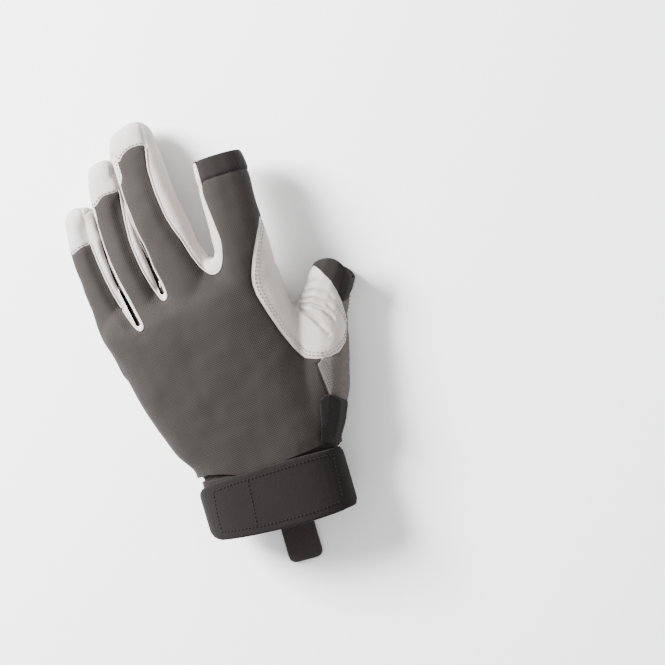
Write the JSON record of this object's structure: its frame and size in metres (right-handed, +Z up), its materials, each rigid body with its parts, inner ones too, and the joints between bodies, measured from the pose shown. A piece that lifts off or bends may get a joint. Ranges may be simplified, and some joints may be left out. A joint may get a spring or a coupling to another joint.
{
  "type": "climbing glove",
  "caption": "Left-hand climbing glove with leather palm, stretch back, open index finger and thumb, ribbed cuff and wrist strap.",
  "frame": {"origin": "middle of the glove's box on the floor that it lies on, palm down", "axes": "+Y from the wrist to the fingertips, +X to the thumb side, +Z up out of the back of the hand"},
  "size_m": [0.134, 0.2428, 0.0424],
  "materials": {
    "stretch_fabric": "matt stretch weave",
    "leather": "matt fine suede-like grain",
    "leather_patch": "matt fine suede-like grain, stitched on",
    "mesh_fabric": "matt fine mesh",
    "knit_band": "matt knitted hem",
    "ribbed_elastic": "matt ribbed elastic",
    "strap_fabric": "matt brushed loop fabric",
    "webbing": "matt woven webbing",
    "tab_fabric": "matt folded fabric"
  },
  "bodies": {
    "root": {"back_panel": "stretch_fabric", "palm_panel": "leather", "fourchette_little_ring": "leather", "fourchette_ring_middle": "leather", "fourchette_middle_index": "leather", "cap_little": "leather", "cap_ring": "leather", "cap_middle": "leather", "thumb_saddle": "leather_patch", "thumb_back": "mesh_fabric", "index_band": "knit_band", "thumb_band": "knit_band", "cuff": "ribbed_elastic", "wrist_strap": "strap_fabric", "pull_tab": "webbing", "side_tab": "tab_fabric"}
  },
  "joints": []
}
